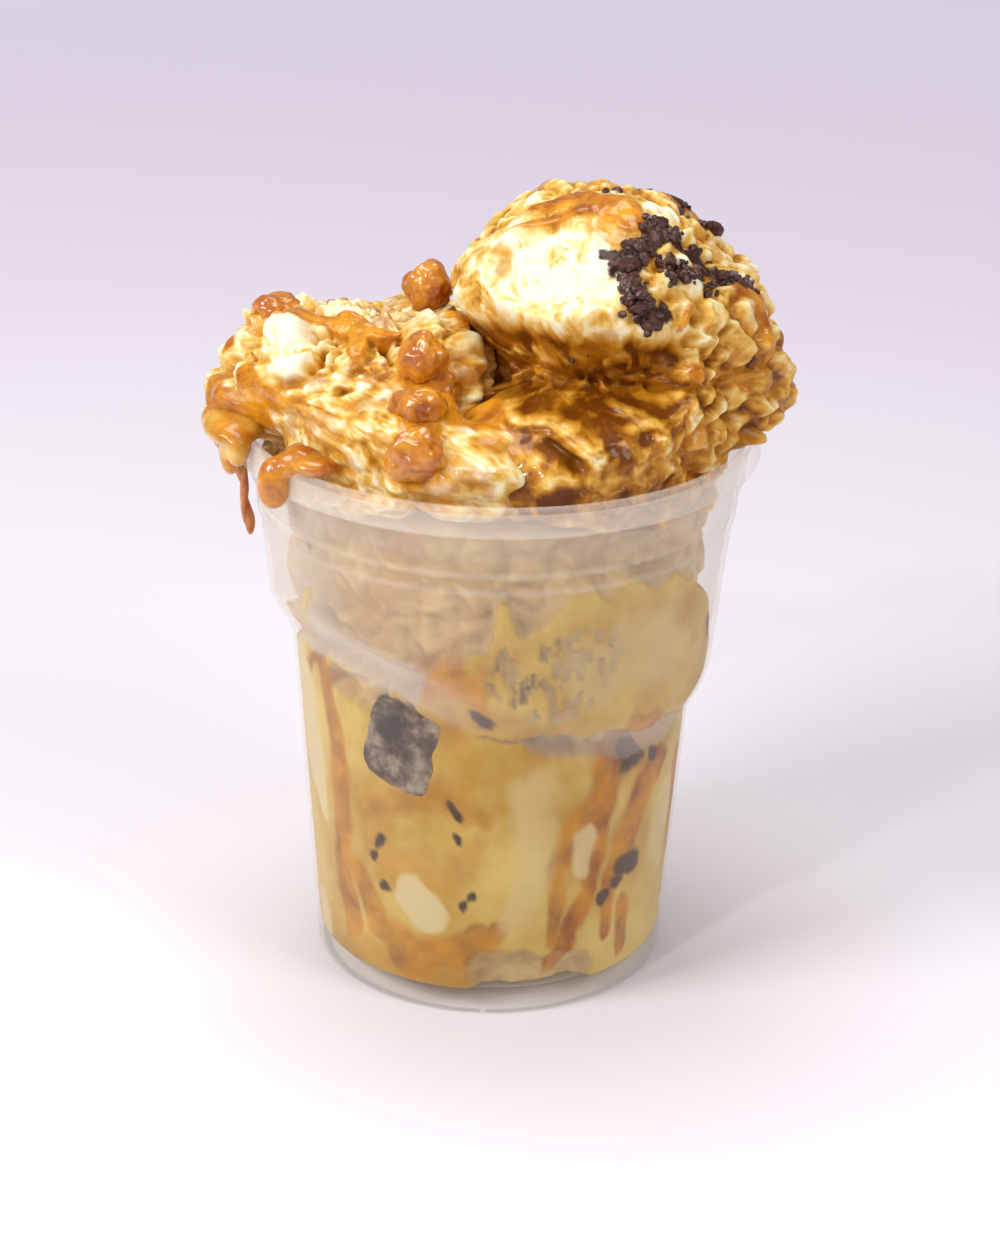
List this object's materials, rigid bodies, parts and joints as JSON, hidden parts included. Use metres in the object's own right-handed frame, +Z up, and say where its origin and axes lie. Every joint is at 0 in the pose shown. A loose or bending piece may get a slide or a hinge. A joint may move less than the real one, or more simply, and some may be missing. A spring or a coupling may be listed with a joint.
{
  "type": "gelato cup",
  "caption": "Tall clear plastic dessert cup with a wavy shoulder, packed with caramel and chocolate gelato and heaped with two craggy scoops that spill over the rim.",
  "frame": {"origin": "centre of the cup's base, on the surface that it stands on", "axes": "+Z up along the cup's axis, -Y towards the front, +X towards the taller scoop"},
  "size_m": [0.1072, 0.095, 0.1476],
  "materials": {
    "cup_plastic": "translucent milky polypropylene",
    "gelato": null,
    "caramel": null,
    "chocolate": null
  },
  "bodies": {
    "root": {"cup": "cup_plastic", "gelato_fill": "gelato", "scoop_left": "gelato", "scoop_right": "gelato", "chocolate_chunk": "chocolate", "chocolate_cluster": "chocolate", "caramel_nut_1": "caramel", "caramel_nut_2": "caramel", "caramel_nut_3": "caramel", "caramel_nut_4": "caramel", "caramel_nut_5": "caramel"}
  },
  "joints": []
}
